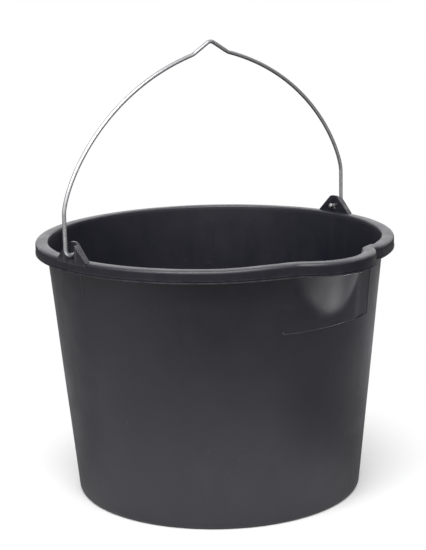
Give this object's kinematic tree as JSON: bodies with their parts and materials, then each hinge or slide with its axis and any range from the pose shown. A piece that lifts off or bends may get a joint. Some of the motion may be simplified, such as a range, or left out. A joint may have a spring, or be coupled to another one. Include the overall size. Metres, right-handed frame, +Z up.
{
  "type": "builder's bucket",
  "caption": "Round tapered plastic builder's bucket with a pouring lip, a turned-down rim and a swinging galvanised wire bail.",
  "frame": {"origin": "centre of the base's resting plane, on the axis of the tub", "axes": "+Z up through the mouth, X along the bail's hinge axis, -Y towards the pouring lip"},
  "size_m": [0.384, 0.3879, 0.4661],
  "materials": {
    "black_plastic": "moulded recycled polyolefin, fine satin grain, light scuffs",
    "galvanised_wire": "drawn and galvanised round wire"
  },
  "bodies": {
    "tub": {"bucket_body": "black_plastic"},
    "bail": {"wire_bail": "galvanised_wire"}
  },
  "joints": [
    {"name": "bail_hinge", "type": "hinge", "parent": "tub", "child": "bail", "pos_m": [0, 0, 0.2727], "axis": [1, 0, 0], "range_deg": [-91, 90.5]}
  ]
}
